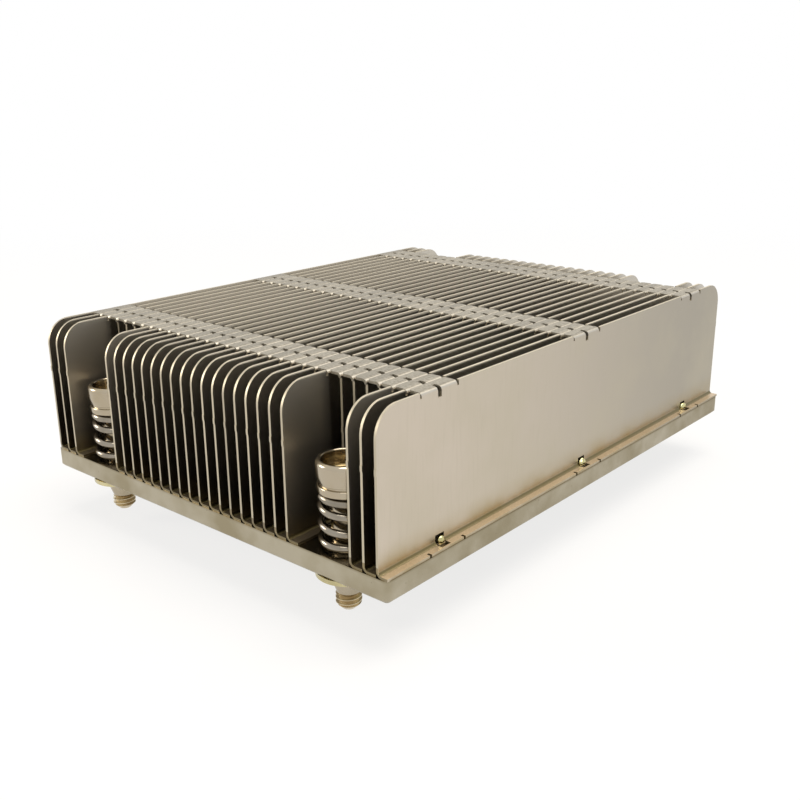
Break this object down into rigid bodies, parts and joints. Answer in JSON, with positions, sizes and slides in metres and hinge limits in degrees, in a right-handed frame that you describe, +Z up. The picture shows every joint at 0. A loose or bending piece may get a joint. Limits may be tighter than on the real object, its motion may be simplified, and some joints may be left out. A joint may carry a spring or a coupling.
{
  "type": "passive server cpu heatsink",
  "caption": "Low finned heatsink: a flat base plate, folded sheet fins linked along their top edges, and captive spring screws at the corners that fasten it to a processor socket.",
  "frame": {"origin": "centre of the base plate's underside, the face that presses on the processor", "axes": "+Z up out of the base towards the fins, +X across the fins, +Y along the fins towards the rear"},
  "size_m": [0.08, 0.104, 0.0337],
  "materials": {
    "base_metal": "satin nickel plate over a milled plate",
    "fin_sheet": "satin nickel plate over thin rolled sheet",
    "screw_metal": "bright nickel plate over turned steel",
    "spring_wire": "bright drawn wire",
    "clip_metal": "yellow passivated zinc over spring steel"
  },
  "bodies": {
    "heatsink": {"base_plate": "base_metal", "fin_01": "fin_sheet", "fin_02": "fin_sheet", "fin_03": "fin_sheet", "fin_04": "fin_sheet", "fin_05": "fin_sheet", "fin_06": "fin_sheet", "fin_07": "fin_sheet", "fin_08": "fin_sheet", "fin_09": "fin_sheet", "fin_10": "fin_sheet", "fin_11": "fin_sheet", "fin_12": "fin_sheet", "fin_13": "fin_sheet", "fin_14": "fin_sheet", "fin_15": "fin_sheet", "fin_16": "fin_sheet", "fin_17": "fin_sheet", "fin_18": "fin_sheet", "fin_19": "fin_sheet", "fin_20": "fin_sheet", "fin_21": "fin_sheet", "fin_22": "fin_sheet", "fin_23": "fin_sheet", "fin_24": "fin_sheet", "fin_25": "fin_sheet", "fin_26": "fin_sheet", "fin_27": "fin_sheet", "fin_28": "fin_sheet", "fin_29": "fin_sheet", "fin_30": "fin_sheet", "fin_31": "fin_sheet", "fin_32": "fin_sheet", "screw_spring_front_left": "spring_wire", "screw_spring_front_right": "spring_wire", "screw_spring_rear_left": "spring_wire", "screw_spring_rear_right": "spring_wire"},
    "clip_front_left": {"retaining_clip_front_left": "clip_metal"},
    "screw_front_left": {"captive_screw_front_left": "screw_metal"},
    "clip_front_right": {"retaining_clip_front_right": "clip_metal"},
    "screw_front_right": {"captive_screw_front_right": "screw_metal"},
    "clip_rear_left": {"retaining_clip_rear_left": "clip_metal"},
    "screw_rear_left": {"captive_screw_rear_left": "screw_metal"},
    "clip_rear_right": {"retaining_clip_rear_right": "clip_metal"},
    "screw_rear_right": {"captive_screw_rear_right": "screw_metal"}
  },
  "joints": [
    {"name": "press_front_left", "type": "slide", "parent": "heatsink", "child": "clip_front_left", "axis": [0, 0, 1], "range_m": [-0.0022, 0], "stiffness_N_per_m": 8000, "springref_m": 0.0005, "deforming": ["screw_spring_front_left"]},
    {"name": "turn_front_left", "type": "hinge", "parent": "clip_front_left", "child": "screw_front_left", "pos_m": [-0.028, -0.047, 0], "axis": [0, 0, 1], "continuous": true},
    {"name": "press_front_right", "type": "slide", "parent": "heatsink", "child": "clip_front_right", "axis": [0, 0, 1], "range_m": [-0.0022, 0], "stiffness_N_per_m": 8000, "springref_m": 0.0005, "deforming": ["screw_spring_front_right"]},
    {"name": "turn_front_right", "type": "hinge", "parent": "clip_front_right", "child": "screw_front_right", "pos_m": [0.028, -0.047, 0], "axis": [0, 0, 1], "continuous": true},
    {"name": "press_rear_left", "type": "slide", "parent": "heatsink", "child": "clip_rear_left", "axis": [0, 0, 1], "range_m": [-0.0022, 0], "stiffness_N_per_m": 8000, "springref_m": 0.0005, "deforming": ["screw_spring_rear_left"]},
    {"name": "turn_rear_left", "type": "hinge", "parent": "clip_rear_left", "child": "screw_rear_left", "pos_m": [-0.028, 0.047, 0], "axis": [0, 0, 1], "continuous": true},
    {"name": "press_rear_right", "type": "slide", "parent": "heatsink", "child": "clip_rear_right", "axis": [0, 0, 1], "range_m": [-0.0022, 0], "stiffness_N_per_m": 8000, "springref_m": 0.0005, "deforming": ["screw_spring_rear_right"]},
    {"name": "turn_rear_right", "type": "hinge", "parent": "clip_rear_right", "child": "screw_rear_right", "pos_m": [0.028, 0.047, 0], "axis": [0, 0, 1], "continuous": true}
  ]
}
